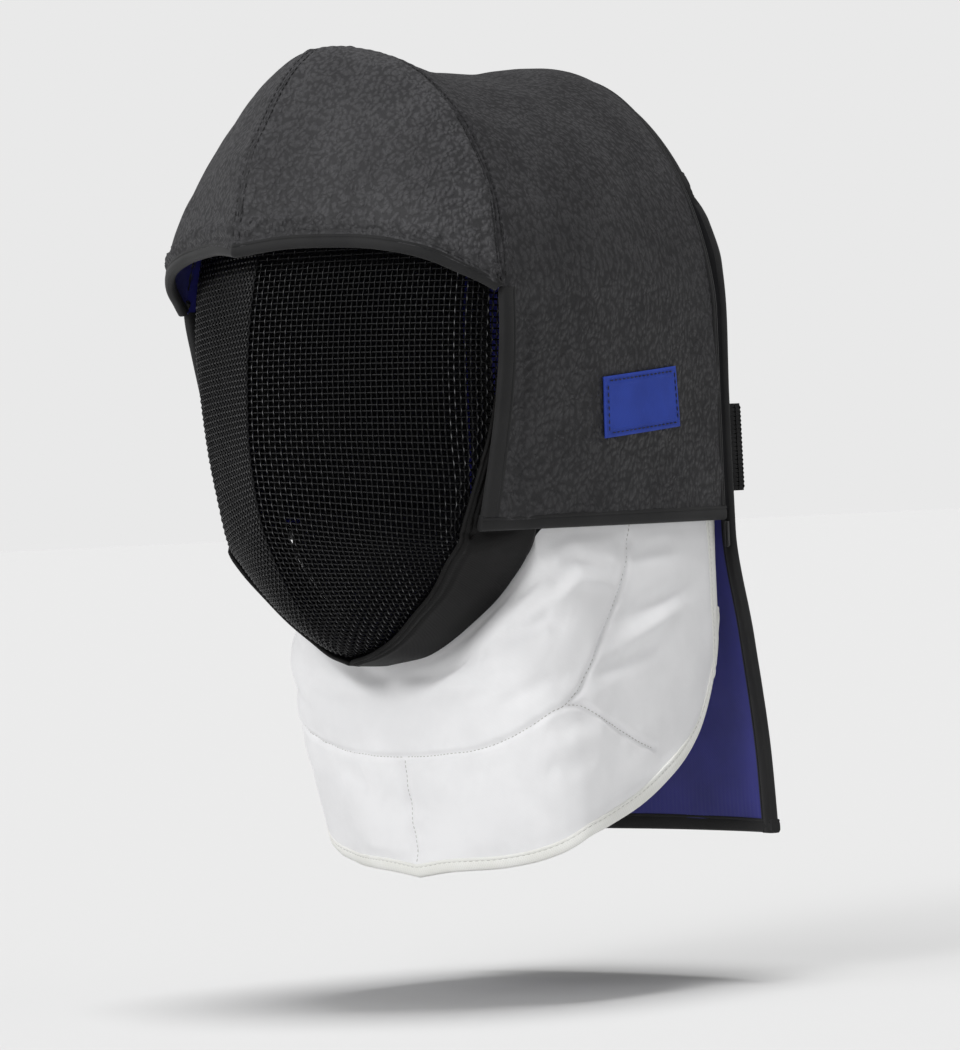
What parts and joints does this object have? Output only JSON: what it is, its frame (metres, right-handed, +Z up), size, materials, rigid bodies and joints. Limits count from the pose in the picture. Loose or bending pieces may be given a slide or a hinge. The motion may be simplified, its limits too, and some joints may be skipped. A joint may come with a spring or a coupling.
{
  "type": "fencing mask",
  "caption": "Padded leather fencing mask with a wire mesh face cage, a quilted throat bib, a hanging back flap and an elastic back strap.",
  "frame": {"origin": "where the top of the wearer's head meets the crown's lining, on the plane of symmetry", "axes": "+Z up, -Y the way the wearer faces, +X the wearer's left"},
  "size_m": [0.2452, 0.2864, 0.4318],
  "materials": {
    "leather": "pebbled, satin",
    "lining": "woven, matte",
    "binding": "folded cloth tape, matte",
    "mesh": "black coated wire",
    "canvas": "coated canvas, matte",
    "cloth": "padded cotton, matte",
    "trim": "cotton tape, matte",
    "webbing": "elastic webbing, matte",
    "label": "woven patch, matte"
  },
  "bodies": {
    "root": {"crown_panel": "leather", "front_panel_left": "leather", "front_panel_right": "leather", "back_flap": "leather", "crown_lining": "lining", "front_lining_left": "lining", "front_lining_right": "lining", "flap_lining": "lining", "brim_binding": "binding", "rear_binding": "binding", "face_binding_left": "binding", "face_binding_right": "binding", "hem_binding_left": "binding", "hem_binding_right": "binding", "flap_binding": "binding", "rear_tab_left": "binding", "rear_tab_right": "binding", "mesh_cage": "mesh", "rim_band": "canvas", "rim_piping": "canvas", "bib": "cloth", "bib_binding": "trim", "back_strap": "webbing", "strap_overlap": "webbing", "label_patch": "label"}
  },
  "joints": []
}
